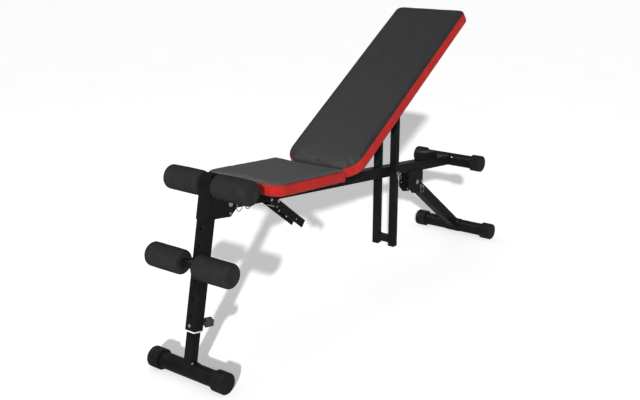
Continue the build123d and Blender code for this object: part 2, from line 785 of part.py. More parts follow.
with BuildPart() as support_pivot_bolt:
    bolt(*support_pivot, pivot_radius, -54, bar_inner_x + bar_side + 0.4)
    hexagon(-53.4, *support_pivot, 9.5, 5.5)
    for side in (-1, 1):
        rod(18.1 if side > 0 else -22.2, *support_pivot, 9, 4.1)
support_pivot_bolt.part.label = "support_pivot_bolt"
export_step(support_pivot_bolt.part, "parts/support_pivot_bolt.step")

# ---------------------------------------------------------------- backrest support


def support_bar(side):
    """Upright bar of the support with its pivot hole and its lock hole."""
    centre_x = side * bar_centre_x
    tube(across(bar_bottom_y, bar_bottom_z, bar_angle, centre_x), bar_side, bar_side, bar_length, wall, 2.0)
    start = bar_inner_x - 5 if side > 0 else -bar_inner_x - bar_side - 5
    rod(start, *support_pivot, pivot_radius + running, bar_side + 10, Mode.SUBTRACT)
    rod(start, *support_hole, pin_radius + pin_fit, bar_side + 10, Mode.SUBTRACT)


with BuildPart() as support_bar_left:
    support_bar(-1)
support_bar_left.part.label = "support_bar_left"
export_step(support_bar_left.part, "parts/support_bar_left.step")

with BuildPart() as support_bar_right:
    support_bar(1)
support_bar_right.part.label = "support_bar_right"
export_step(support_bar_right.part, "parts/support_bar_right.step")

with BuildPart() as support_cross_tube:
    cross_centre = shifted(bar_bottom_y, bar_bottom_z, bar_angle, 25.5, 0)
    with BuildSketch(beside(*cross_centre, bar_angle, -bar_inner_x)):
        RectangleRounded(bar_side, bar_side, 2)
        RectangleRounded(bar_side - 2 * wall, bar_side - 2 * wall, 1, mode=Mode.SUBTRACT)
    extrude(amount=2 * bar_inner_x)
support_cross_tube.part.label = "support_cross_tube"
export_step(support_cross_tube.part, "parts/support_cross_tube.step")

# ---------------------------------------------------------------- rear leg

with BuildPart() as rear_strut:
    strut_start = shifted(*rear_pivot, leg_angle, -12, 0)
    tube(across(*strut_start, leg_angle), main, main, leg_length + 12)
    saddle(rear_foot_y, floor_axis, leg_angle + 180, 27, 12)
    rod(-60, rear_foot_y, floor_axis, foot_radius + snug, 120, Mode.SUBTRACT)
    rod(-40, *rear_pivot, pivot_radius + running, 80, Mode.SUBTRACT)
    rod(-40, *rear_lock, pin_radius + 0.3, 80, Mode.SUBTRACT)
    foot_screw_hole(rear_screw_x, rear_foot_y, floor_axis, rear_screw_angle)
rear_strut.part.label = "rear_strut"
export_step(rear_strut.part, "parts/rear_strut.step")

with BuildPart() as lower_rear_foot:
    foot_tube(rear_foot_y, floor_axis, long_foot)
    foot_screw_hole(rear_screw_x, rear_foot_y, floor_axis, rear_screw_angle)
lower_rear_foot.part.label = "lower_rear_foot"
export_step(lower_rear_foot.part, "parts/lower_rear_foot.step")

with BuildPart() as lower_rear_cap_left:
    foot_cap(rear_foot_y, floor_axis, long_foot, -1, True)
lower_rear_cap_left.part.label = "lower_rear_cap_left"
export_step(lower_rear_cap_left.part, "parts/lower_rear_cap_left.step")

with BuildPart() as lower_rear_cap_right:
    foot_cap(rear_foot_y, floor_axis, long_foot, 1, True)
lower_rear_cap_right.part.label = "lower_rear_cap_right"
export_step(lower_rear_cap_right.part, "parts/lower_rear_cap_right.step")

with BuildPart() as lower_foot_screw:
    foot_screw(rear_screw_x, rear_foot_y, floor_axis, rear_screw_angle, foot_radius + saddle_wall)
lower_foot_screw.part.label = "lower_foot_screw"
export_step(lower_foot_screw.part, "parts/lower_foot_screw.step")

# ---------------------------------------------------------------- pull pins and rings


def pull_pin(spot, inner_x, face_x):
    """Lock pin with a collar against the face and a neck bored for its ring."""
    rod(inner_x, *spot, pin_radius, face_x - inner_x + 1)
    rod(face_x + 0.3, *spot, collar_radius, 3.7)
    rod(face_x + 4, *spot, pin_radius, neck_length)
    y, z = spot
    bore = Plane(origin=(face_x + ring_reach, y - 10, z), x_dir=(1, 0, 0), z_dir=(0, 1, 0))
    with BuildSketch(bore) as section:
        Circle(ring_bore)
    extrude(section.sketch, amount=20, mode=Mode.SUBTRACT)


def pull_ring(spot, face_x):
    """Wire ring that hangs through the neck of a pull pin."""
    y, z = spot
    hoop = Plane(origin=(face_x + ring_reach, y, z - ring_radius), x_dir=(0, 1, 0), z_dir=(1, 0, 0))
    with Locations(Location(hoop)):
        Torus(ring_radius, wire_radius)


with BuildPart() as front_pin:
    pull_pin(fold_lock, 19.5, plate_outer)
front_pin.part.label = "front_pin"
export_step(front_pin.part, "parts/front_pin.step")

with BuildPart() as front_pin_ring:
    pull_ring(fold_lock, plate_outer)
front_pin_ring.part.label = "front_pin_ring"
export_step(front_pin_ring.part, "parts/front_pin_ring.step")

with BuildPart() as beam_front_pin:
    pull_pin(beam_pin, 17.2, half_main)
beam_front_pin.part.label = "beam_front_pin"
export_step(beam_front_pin.part, "parts/beam_front_pin.step")

with BuildPart() as beam_front_pin_ring:
    pull_ring(beam_pin, half_main)
beam_front_pin_ring.part.label = "beam_front_pin_ring"
export_step(beam_front_pin_ring.part, "parts/beam_front_pin_ring.step")

with BuildPart() as support_pin:
    pull_pin(support_hole, 20.0, bar_inner_x + bar_side)
support_pin.part.label = "support_pin"
export_step(support_pin.part, "parts/support_pin.step")

with BuildPart() as support_pin_ring:
    pull_ring(support_hole, bar_inner_x + bar_side)
support_pin_ring.part.label = "support_pin_ring"
export_step(support_pin_ring.part, "parts/support_pin_ring.step")

with BuildPart() as rear_pin:
    pull_pin(rear_lock, 19.5, plate_outer)
rear_pin.part.label = "rear_pin"
export_step(rear_pin.part, "parts/rear_pin.step")

with BuildPart() as rear_pin_ring:
    pull_ring(rear_lock, plate_outer)
rear_pin_ring.part.label = "rear_pin_ring"
export_step(rear_pin_ring.part, "parts/rear_pin_ring.step")
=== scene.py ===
import json
import math

import bpy
from mathutils import Matrix, Vector, noise
from mathutils.bvhtree import BVHTree

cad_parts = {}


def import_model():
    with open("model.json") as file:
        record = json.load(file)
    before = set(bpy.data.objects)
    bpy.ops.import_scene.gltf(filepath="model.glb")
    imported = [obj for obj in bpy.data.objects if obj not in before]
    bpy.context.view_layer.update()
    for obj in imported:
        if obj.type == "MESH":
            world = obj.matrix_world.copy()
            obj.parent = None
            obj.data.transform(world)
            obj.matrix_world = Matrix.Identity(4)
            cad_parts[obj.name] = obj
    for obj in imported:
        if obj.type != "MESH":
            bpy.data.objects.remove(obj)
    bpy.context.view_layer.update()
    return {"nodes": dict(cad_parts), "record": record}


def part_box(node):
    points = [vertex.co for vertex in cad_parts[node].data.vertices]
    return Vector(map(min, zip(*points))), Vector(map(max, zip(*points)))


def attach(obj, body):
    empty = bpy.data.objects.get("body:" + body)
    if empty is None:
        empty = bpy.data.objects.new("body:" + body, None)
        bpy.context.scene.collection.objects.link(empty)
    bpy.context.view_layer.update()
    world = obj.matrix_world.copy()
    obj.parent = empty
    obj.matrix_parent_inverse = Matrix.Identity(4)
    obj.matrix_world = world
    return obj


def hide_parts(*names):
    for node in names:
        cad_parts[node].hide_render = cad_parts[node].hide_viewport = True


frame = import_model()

# ------------------------------------------------------------------ camera


camera_angles = (37.19, 17.66, -0.68)
camera_lens = 50.74
camera_place = (1.7310, -2.4338, 1.2951)


def place_camera():
    """The photograph's view: azimuth, pitch and roll in degrees, metres from the row's origin."""
    azimuth, pitch, roll = (math.radians(angle) for angle in camera_angles)
    level = math.cos(pitch)
    back = Vector((math.sin(azimuth) * level, -math.cos(azimuth) * level, math.sin(pitch)))
    right = (-back).cross(Vector((0, 0, 1))).normalized()
    up = right.cross(-back)
    tilted_right = math.cos(roll) * right + math.sin(roll) * up
    tilted_up = math.cos(roll) * up - math.sin(roll) * right
    data = bpy.data.cameras.new("camera")
    data.sensor_width = 36.0
    data.lens = camera_lens
    data.clip_end = 200
    camera = bpy.data.objects.new("camera", data)
    matrix = Matrix((tilted_right, tilted_up, back)).transposed().to_4x4()
    matrix.translation = Vector(camera_place)
    camera.matrix_world = matrix
    bpy.context.scene.collection.objects.link(camera)
    bpy.context.scene.camera = camera


place_camera()

# ------------------------------------------------------------------ materials


def new_material(name, rough=0.5, metal=0.0, specular=0.5):
    """A Principled material with an object-space coordinate; returns it with its node tree parts."""
    made = bpy.data.materials.new(name)
    made.use_nodes = True
    nodes = made.node_tree.nodes
    shader = nodes["Principled BSDF"]
    shader.inputs["Roughness"].default_value = rough
    shader.inputs["Metallic"].default_value = metal
    shader.inputs["Specular IOR Level"].default_value = specular
    place = nodes.new("ShaderNodeTexCoord")
    return made, nodes, made.node_tree.links, shader, place.outputs["Object"]


def noise_node(nodes, links, coordinate, scale, detail=2.0, rough=0.5):
    """Noise in the object's own space, scale per metre."""
    made = nodes.new("ShaderNodeTexNoise")
    made.inputs["Scale"].default_value = scale
    made.inputs["Detail"].default_value = detail
    made.inputs["Roughness"].default_value = rough
    links.new(coordinate, made.inputs["Vector"])
    return made.outputs["Fac"]


def ramp(nodes, links, source, low, high, start=0.35, end=0.65):
    """Colour ramp between two colours."""
    made = nodes.new("ShaderNodeValToRGB")
    made.color_ramp.elements[0].position = start
    made.color_ramp.elements[1].position = end
    made.color_ramp.elements[0].color = (*low, 1)
    made.color_ramp.elements[1].color = (*high, 1)
    links.new(source, made.inputs["Fac"])
    return made.outputs["Color"]


def value_range(nodes, links, source, low, high, start=0.3, end=0.7):
    """Maps a value from one range to another."""
    made = nodes.new("ShaderNodeMapRange")
    made.inputs["From Min"].default_value = start
    made.inputs["From Max"].default_value = end
    made.inputs["To Min"].default_value = low
    made.inputs["To Max"].default_value = high
    links.new(source, made.inputs["Value"])
    return made.outputs["Result"]


def bump(nodes, links, source, strength, distance, below=None):
    """Bump of this depth in metres, laid over another one if given."""
    made = nodes.new("ShaderNodeBump")
    made.inputs["Strength"].default_value = strength
    made.inputs["Distance"].default_value = distance
    links.new(source, made.inputs["Height"])
    if below is not None:
        links.new(below, made.inputs["Normal"])
    return made.outputs["Normal"]


def powder_coat(name, dark, light):
    """Glossy black powder coat: orange peel, faint dust and softer patches."""
    made, nodes, links, shader, place = new_material(name, rough=0.34, specular=0.11)
    patches = noise_node(nodes, links, place, 14, 5, 0.6)
    links.new(ramp(nodes, links, patches, dark, light), shader.inputs["Base Color"])
    links.new(value_range(nodes, links, patches, 0.28, 0.44), shader.inputs["Roughness"])
    peel = noise_node(nodes, links, place, 620, 1)
    grit = noise_node(nodes, links, place, 2300, 1)
    first = bump(nodes, links, peel, 0.35, 0.0004)
    links.new(bump(nodes, links, grit, 0.2, 0.0001, first), shader.inputs["Normal"])
    return made


def moulded(name, dark, light, rough=0.5, grain=1500):
    """Moulded plastic with a fine spark-eroded texture."""
    made, nodes, links, shader, place = new_material(name, rough=rough, specular=0.16)
    patches = noise_node(nodes, links, place, 25, 4)
    links.new(ramp(nodes, links, patches, dark, light), shader.inputs["Base Color"])
    links.new(value_range(nodes, links, patches, rough - 0.07, rough + 0.08), shader.inputs["Roughness"])
    texture = noise_node(nodes, links, place, grain, 2)
    links.new(bump(nodes, links, texture, 0.35, 0.0003), shader.inputs["Normal"])
    return made


def metal(name, dark, light, rough_low, rough_high, scale=90):
    """Plated steel: cloudy brightness, fine handling marks."""
    made, nodes, links, shader, place = new_material(name, metal=1.0)
    clouds = noise_node(nodes, links, place, scale, 5, 0.6)
    links.new(ramp(nodes, links, clouds, dark, light), shader.inputs["Base Color"])
    links.new(value_range(nodes, links, clouds, rough_low, rough_high), shader.inputs["Roughness"])
    marks = noise_node(nodes, links, place, 1400, 3)
    links.new(bump(nodes, links, marks, 0.12, 0.0002), shader.inputs["Normal"])
    return made


def foam_material(name):
    """Closed-cell foam: matt, slightly mottled, with small cells."""
    made, nodes, links, shader, place = new_material(name, rough=0.92, specular=0.10)
    mottle = noise_node(nodes, links, place, 45, 6, 0.65)
    colour = ramp(nodes, links, mottle, (0.0140, 0.0140, 0.0150), (0.0185, 0.0185, 0.0198))
    links.new(colour, shader.inputs["Base Color"])
    cells = nodes.new("ShaderNodeTexVoronoi")
    cells.inputs["Scale"].default_value = 1100
    links.new(place, cells.inputs["Vector"])
    soft = noise_node(nodes, links, place, 240, 3)
    first = bump(nodes, links, soft, 0.3, 0.0009)
    links.new(bump(nodes, links, cells.outputs["Distance"], 0.35, 0.0004, first), shader.inputs["Normal"])
    return made


def grain_bump(nodes, links, place):
    """Vinyl leather grain: small pebbles over soft creases."""
    pebbles = nodes.new("ShaderNodeTexVoronoi")
    pebbles.inputs["Scale"].default_value = 760
    pebbles.inputs["Randomness"].default_value = 0.9
    links.new(place, pebbles.inputs["Vector"])
    creases = noise_node(nodes, links, place, 55, 4, 0.55)
    first = bump(nodes, links, creases, 0.25, 0.0016)
    return bump(nodes, links, pebbles.outputs["Distance"], 0.32, 0.00035, first)


seam_blur = 0.0002
end_drop = 0.060
end_fade = (0.014, 0.026)
end_middle = (0.086, 0.100)


def vinyl(name, top, side, angle, centre, seam, rough, specular, low_end=None):
    """Two-tone vinyl, each tone a dark and a light colour: the top's above the seam, the side's below it.

    With a low end, the top's colour also runs down over the middle of that end.
    """
    made, nodes, links, shader, place = new_material(name, rough=rough, specular=specular)
    mottle = noise_node(nodes, links, place, 30, 6, 0.6)
    top_colour = ramp(nodes, links, mottle, *top)
    side_colour = ramp(nodes, links, mottle, *side)
    along, normal = pad_axes(angle)
    offset = nodes.new("ShaderNodeVectorMath")
    offset.operation = "SUBTRACT"
    offset.inputs[1].default_value = centre
    links.new(place, offset.inputs[0])
    height = nodes.new("ShaderNodeVectorMath")
    height.operation = "DOT_PRODUCT"
    height.inputs[1].default_value = normal
    links.new(offset.outputs["Vector"], height.inputs[0])
    level = height.outputs["Value"]
    if low_end is not None:
        reach = nodes.new("ShaderNodeVectorMath")
        reach.operation = "DOT_PRODUCT"
        reach.inputs[1].default_value = along
        links.new(offset.outputs["Vector"], reach.inputs[0])
        start, end = (low_end + fade for fade in end_fade)
        drop = value_range(nodes, links, reach.outputs["Value"], end_drop, 0.0, start, end)
        across = nodes.new("ShaderNodeVectorMath")
        across.operation = "DOT_PRODUCT"
        across.inputs[1].default_value = (1, 0, 0)
        links.new(offset.outputs["Vector"], across.inputs[0])
        sideways = nodes.new("ShaderNodeMath")
        sideways.operation = "ABSOLUTE"
        links.new(across.outputs["Value"], sideways.inputs[0])
        between = value_range(nodes, links, sideways.outputs["Value"], 1.0, 0.0, *end_middle)
        drop_there = nodes.new("ShaderNodeMath")
        drop_there.operation = "MULTIPLY"
        links.new(drop, drop_there.inputs[0])
        links.new(between, drop_there.inputs[1])
        drop = drop_there.outputs["Value"]
        total = nodes.new("ShaderNodeMath")
        total.operation = "ADD"
        links.new(level, total.inputs[0])
        links.new(drop, total.inputs[1])
        level = total.outputs["Value"]
    above = nodes.new("ShaderNodeMapRange")
    above.inputs["From Min"].default_value = seam - seam_blur
    above.inputs["From Max"].default_value = seam + seam_blur
    links.new(level, above.inputs["Value"])
    mix = nodes.new("ShaderNodeMix")
    mix.data_type = "RGBA"
    links.new(above.outputs["Result"], mix.inputs["Factor"])
    links.new(side_colour, mix.inputs["A"])
    links.new(top_colour, mix.inputs["B"])
    links.new(mix.outputs["Result"], shader.inputs["Base Color"])
    links.new(value_range(nodes, links, mottle, rough - 0.06, rough + 0.08), shader.inputs["Roughness"])
    links.new(grain_bump(nodes, links, place), shader.inputs["Normal"])
    return made


def plywood(name):
    """Plain board: long grain bands and pores."""
    made, nodes, links, shader, place = new_material(name, rough=0.75)
    stretch = nodes.new("ShaderNodeMapping")
    stretch.inputs["Scale"].default_value = (60, 4, 60)
    links.new(place, stretch.inputs["Vector"])
    bands = noise_node(nodes, links, stretch.outputs["Vector"], 1.6, 8, 0.6)
    colour = ramp(nodes, links, bands, (0.010, 0.009, 0.008), (0.030, 0.026, 0.022))
    links.new(colour, shader.inputs["Base Color"])
    pores = noise_node(nodes, links, stretch.outputs["Vector"], 9, 4)
    links.new(bump(nodes, links, pores, 0.3, 0.0006), shader.inputs["Normal"])
    return made


black = (0.0040, 0.0040, 0.0043)
black_light = (0.0068, 0.0068, 0.0072)
finishes = {
    "frame_black": powder_coat("frame_black", black, black_light),
    "plate_black": powder_coat("plate_black", black, black_light),
    "cap_black": moulded("cap_black", (0.0050, 0.0050, 0.0058), (0.0090, 0.0090, 0.0100), 0.46),
    "knob_black": moulded("knob_black", (0.030, 0.030, 0.032), (0.055, 0.055, 0.058), 0.5),
    "bush_grey": moulded("bush_grey", (0.42, 0.42, 0.43), (0.58, 0.58, 0.60), 0.4),
    "zinc": metal("zinc", (0.82, 0.82, 0.84), (0.96, 0.96, 0.97), 0.30, 0.50),
    "ring_wire": metal("ring_wire", (0.45, 0.45, 0.46), (0.70, 0.70, 0.71), 0.18, 0.34),
    "foam": foam_material("foam"),
    "board": plywood("board"),
}
for entry in frame["record"]["subparts"]:
    finish = finishes.get(entry["material_slot"])
    node = frame["nodes"][entry["node"]]
    if finish is None:
        continue
    if not node.material_slots:
        node.data.materials.append(finish)
    for place in node.material_slots:
        place.material = finish

# ------------------------------------------------------------------ shared mesh code


def add_object(name, points, faces, material, smooth=True):
    """Mesh object in the row frame."""
    mesh = bpy.data.meshes.new(name)
    mesh.from_pydata([tuple(p) for p in points], [], faces)
    mesh.validate()
    for polygon in mesh.polygons:
        polygon.use_smooth = smooth
    made = bpy.data.objects.new(name, mesh)
    bpy.context.scene.collection.objects.link(made)
    mesh.materials.append(material)
    return made


def sweep(path, reference, closed, sides, radius_at):
    """Points and side faces of a round tube along a path, with a radius for each point of it."""
    count = len(path)
    points = []
    for index, point in enumerate(path):
        before = path[index - 1] if closed or index else path[0]
        after = path[(index + 1) % count] if closed or index < count - 1 else path[-1]
        tangent = (after - before).normalized()
        side = tangent.cross(reference).normalized()
        rise = side.cross(tangent)
        radius = radius_at(index, point)
        for step in range(sides):
            turn = 2 * math.pi * step / sides
            points.append(point + radius * (math.cos(turn) * side + math.sin(turn) * rise))
    faces = []
    for index in range(count if closed else count - 1):
        here = index * sides
        there = (index + 1) % count * sides
        for step in range(sides):
            after = (step + 1) % sides
            faces.append((here + step, here + after, there + after, there + step))
    return points, faces


def centre_of(node):
    """Middle of a node's box."""
    low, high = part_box(node)
    return (Vector(low) + Vector(high)) / 2


# ------------------------------------------------------------------ cushions


def pad_axes(angle):
    """Unit vectors along the cushion and out of its top."""
    slope = math.radians(angle)
    return Vector((0, math.cos(slope), math.sin(slope))), Vector((0, -math.sin(slope), math.cos(slope)))


def rounded_outline(width, length, front, rear, inset):
    """Points round a rounded rectangle moved inward, in order."""
    half_w = width / 2 - inset
    half_l = length / 2 - inset
    points = []
    corners = [(1, -1, front), (1, 1, rear), (-1, 1, rear), (-1, -1, front)]
    for index, (side, end, radius) in enumerate(corners):
        arc = max(radius - inset, 0.002)
        middle = Vector((side * (half_w - arc), end * (half_l - arc)))
        start = {0: -90, 1: 0, 2: 90, 3: 180}[index]
        for step in range(11):
            turn = math.radians(start + 9 * step)
            points.append(middle + arc * Vector((math.cos(turn), math.sin(turn))))
        following = corners[(index + 1) % 4]
        next_arc = max(following[2] - inset, 0.002)
        target = Vector((following[0] * (half_w - next_arc), following[1] * (half_l - next_arc)))
        turn = math.radians(start + 90)
        finish = target + next_arc * Vector((math.cos(turn), math.sin(turn)))
        last = points[-1].copy()
        for step in range(1, 24):
            points.append(last.lerp(finish, step / 24))
    return points


welt_radius = 0.0010
board_gap = 0.0023
hem_level = -0.0009
hem_rise = 0.0049
hem_edge = 0.022
hem_fade = 0.004


def cushion(
    name, node, angle, length, height, front, rear, seam, crown, material, body, rear_bulge=0.0,
):
    """Upholstered pad: crowned top, boxed sides, blown up by a cloth pass, with a welt on its seam.

    Lengths are in metres; front and rear are the corner radii, and the bulge is at the rear end's middle.
    """
    along, out = pad_axes(angle)
    low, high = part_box(node)
    width = high[0] - low[0]
    middle = (Vector(low) + Vector(high)) / 2
    base = middle - out * height / 2

    def world(x, s, n):
        return base + Vector((x, 0, 0)) + along * s + out * n

    rings = [
        (0.030, -0.0030),
        (0.006, -0.0030),
        (0.0034, -0.0010),
        (0.0027, 0.0040),
        (0.0026, 0.0100),
        (0.0026, height * 0.5),
        (0.0026, seam - 0.004),
        (0.0032, seam),
        (0.0060, height - 0.0026),
        (0.0110, height - 0.0008),
    ]
    for inset in (0.018, 0.030, 0.045, 0.065, 0.090, 0.115, 0.135):
        rings.append((inset, height - 0.0008 + crown * (1 - math.exp(-(inset - 0.011) / 0.035))))
    loops = [rounded_outline(width, length, front, rear, inset) for inset, _ in rings]
    count = len(loops[0])
    points = []
    for loop, (_, n) in zip(loops, rings):
        points += [world(p.x, p.y, n) for p in loop]
    faces = [tuple(reversed(range(count)))]
    for row in range(len(loops) - 1):
        here = row * count
        there = here + count
        for index in range(count):
            after = (index + 1) % count
            faces.append((here + index, here + after, there + after, there + index))
    last = (len(loops) - 1) * count
    faces.append(tuple(range(last, last + count)))
    pad = add_object(name, points, faces, material)

    remesh = pad.modifiers.new("remesh", "REMESH")
    remesh.mode = "VOXEL"
    remesh.voxel_size = 0.0050
    smooth = pad.modifiers.new("smooth", "SMOOTH")
    smooth.factor = 0.5
    smooth.iterations = 3
    bake(pad)
    blow_up(pad, base, out)

    # Waves over the top, creases in the sides, a bulge at the rear end, and a hem folded under.
    mesh = pad.data
    half_w = width / 2
    half_l = length / 2

    def outline_inset(x, s):
        """Distance inside the outline, and the way out of it."""
        radius = front if s < 0 else rear
        over_x = abs(x) - half_w + radius
        over_s = abs(s) - half_l + radius
        outward_x = Vector((math.copysign(1, x), 0, 0))
        outward_s = along * math.copysign(1, s)
        if over_x > 0 and over_s > 0:
            reach = math.hypot(over_x, over_s)
            return radius - reach, (outward_x * over_x + outward_s * over_s) / reach
        if half_w - abs(x) < half_l - abs(s):
            return half_w - abs(x), outward_x
        return half_l - abs(s), outward_s

    for vertex in mesh.vertices:
        local = vertex.co - base
        s = local.dot(along)
        n = local.dot(out)
        x = local.x
        if n > seam:
            wave = noise.noise(Vector((x * 9, s * 7, 3.1))) * 0.0009
            vertex.co += out * wave
        elif n > 0.006:
            corner = min(1.0, max(0.0, 1 - math.hypot(half_w - abs(x), half_l - abs(s)) / 0.16))
            along_edge = s if half_w - abs(x) < half_l - abs(s) else x
            crease = noise.noise(Vector((along_edge * 85, n * 30, 7.7)))
            ripple = noise.noise(Vector((along_edge * 14, n * 12, 1.3)))
            if half_w - abs(x) < half_l - abs(s):
                push = Vector((math.copysign(1, x), 0, 0))
            else:
                push = along * math.copysign(1, s)
            vertex.co += push * (0.0011 * corner * crease + 0.0006 * ripple)
        near_end = min(1.0, max(0.0, 1 - (half_l - s) / 0.10))
        vertex.co += along * rear_bulge * near_end * near_end * (1 - (x / half_w) ** 2)
        inset, outward = outline_inset(x, s)
        if 0.0008 < n < 0.016 and board_gap < inset < 0.010:
            vertex.co += outward * (inset - board_gap)
        if n < 0.003:
            fold = min(1.0, max(0.0, (inset - hem_edge) / hem_fade))
            level = hem_level + hem_rise * fold
            if fold or n < level:
                vertex.co += out * (level - n)
    subdivide = pad.modifiers.new("subdivide", "SUBSURF")
    subdivide.levels = 1
    subdivide.render_levels = 1
    bake(pad)
    for polygon in pad.data.polygons:
        polygon.use_smooth = True
    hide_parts(node)
    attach(pad, body)

    # The welt follows the finished surface at the seam's height.
    spots = [vertex.co for vertex in pad.data.vertices]
    tree = BVHTree.FromPolygons(spots, [tuple(polygon.vertices) for polygon in pad.data.polygons])
    ring = rounded_outline(width, length, front, rear, 0)
    path = []
    for index, point in enumerate(ring):
        before = ring[index - 1]
        after = ring[(index + 1) % len(ring)]
        tangent = (after - before).normalized()
        outward = Vector((tangent.y, -tangent.x))
        start = world(point.x + outward.x * 0.03, point.y + outward.y * 0.03, seam)
        direction = -(Vector((outward.x, 0, 0)) + along * outward.y)
        hit = tree.ray_cast(start, direction, 0.08)[0]
        if hit is not None:
            path.append(hit + direction * 0.0003)
    for _ in range(2):
        path = [(path[i - 1] + path[i] * 2 + path[(i + 1) % len(path)]) / 4 for i in range(len(path))]
    welt = tube_along(name + "_welt", path, welt_radius, finishes["welt"])
    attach(welt, body)
    staple_row(name, world, width, length, front, rear, body)


def staple_row(name, world, width, length, front, rear, body):
    """Staples that hold the folded edge of a cover under its board."""
    ring = rounded_outline(width, length, front, rear, 0.016)
    distance = 0.0
    points = []
    faces = []
    for index, point in enumerate(ring):
        before = ring[index - 1]
        distance += (point - before).length
        if distance < 0.032:
            continue
        distance = 0.0
        tangent = (point - before).normalized()
        outward = Vector((tangent.y, -tangent.x))
        first = len(points)
        for n in (-0.0018, -0.0008):
            for a, b in ((-0.005, -0.0004), (0.005, -0.0004), (0.005, 0.0004), (-0.005, 0.0004)):
                spot = point + tangent * a + outward * b
                points.append(world(spot.x, spot.y, n))
        faces.append((first + 3, first + 2, first + 1, first))
        faces.append((first + 4, first + 5, first + 6, first + 7))
        for step in range(4):
            after = (step + 1) % 4
            faces.append((first + step, first + after, first + 4 + after, first + 4 + step))
    staples = add_object(name + "_staples", points, faces, finishes["zinc"], False)
    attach(staples, body)


def bake(target):
    """Applies the modifiers of an object to its mesh."""
    graph = bpy.context.evaluated_depsgraph_get()
    graph.update()
    mesh = bpy.data.meshes.new_from_object(target.evaluated_get(graph), depsgraph=graph)
    target.modifiers.clear()
    old = target.data
    kept = [m for m in old.materials]
    target.data = mesh
    mesh.materials.clear()
    for item in kept:
        mesh.materials.append(item)


cloth_frames = 20
lift_share = 0.5
up_limit = 0.0050
side_limit = 0.0008


def blow_up(pad, base, out):
    """Cloth with pressure, the underside held, no point moving more than a few millimetres."""
    scene = bpy.context.scene
    rest = [v.co.copy() for v in pad.data.vertices]
    held = pad.vertex_groups.new(name="held")
    held.add([v.index for v in pad.data.vertices if (v.co - base).dot(out) < 0.006], 1.0, "REPLACE")
    cloth = pad.modifiers.new("cloth", "CLOTH")
    cloth.settings.quality = 5
    cloth.settings.mass = 0.4
    cloth.settings.tension_stiffness = 30
    cloth.settings.compression_stiffness = 30
    cloth.settings.bending_stiffness = 2
    cloth.settings.use_pressure = True
    cloth.settings.uniform_pressure_force = 4
    cloth.settings.vertex_group_mass = "held"
    cloth.settings.effector_weights.gravity = 0
    cloth.collision_settings.use_collision = False
    cloth.collision_settings.use_self_collision = False
    cloth.point_cache.frame_start = 1
    cloth.point_cache.frame_end = cloth_frames
    for step in range(1, cloth_frames + 1):
        scene.frame_set(step)
    graph = bpy.context.evaluated_depsgraph_get()
    blown = [v.co.copy() for v in pad.evaluated_get(graph).data.vertices]
    pad.modifiers.clear()
    scene.frame_set(1)
    for vertex, start, end in zip(pad.data.vertices, rest, blown):
        move = end - start
        lift = lift_share * max(-up_limit, min(up_limit, move.dot(out)))
        sideways = move - out * move.dot(out)
        if sideways.length > side_limit:
            sideways = sideways.normalized() * side_limit
        vertex.co = start + out * lift + sideways


def tube_along(name, path, radius, material, sides=8):
    """Closed round tube mesh along a path."""
    reference = Vector((0.13, 0.21, 0.97)).normalized()
    points, faces = sweep(path, reference, True, sides, lambda index, point: radius)
    return add_object(name, points, faces, material)


finishes["welt"] = moulded("welt", (0.010, 0.010, 0.011), (0.014, 0.014, 0.015), 0.45, 900)
red = ((0.25, 0.008, 0.006), (0.30, 0.011, 0.009))
seat_angle = -5.6
back_angle = 31.7
seat_height = 0.0380
back_height = 0.0407
back_length = 0.850
seat_base = centre_of("seat_pad") - pad_axes(seat_angle)[1] * seat_height / 2
back_base = centre_of("backrest_pad") - pad_axes(back_angle)[1] * back_height / 2
seat_seam = 0.0335
back_seam = 0.0362
# The seat's black top is painted about four times lighter than the backrest's black vinyl, which is the same
# cover: painted sheen in place of the seat's grazing reflection.
seat_vinyl_painted_sheen = vinyl(
    "seat_vinyl_painted_sheen", ((0.056, 0.056, 0.058), (0.064, 0.064, 0.066)), red,
    seat_angle, seat_base, seat_seam, 0.56, 0.25,
)
back_vinyl = vinyl(
    "back_vinyl", ((0.0125, 0.0125, 0.0137), (0.0155, 0.0155, 0.0168)), red,
    back_angle, back_base, back_seam, 0.50, 0.25, -back_length / 2,
)
cushion(
    "seat_cushion", "seat_pad", seat_angle, 0.350, seat_height,
    0.045, 0.011, seat_seam, 0.0030, seat_vinyl_painted_sheen, "seat",
)
cushion(
    "backrest_cushion", "backrest_pad", back_angle, back_length, back_height,
    0.070, 0.028, back_seam, 0.0035, back_vinyl, "backrest", 0.006,
)

# ------------------------------------------------------------------ foam rollers


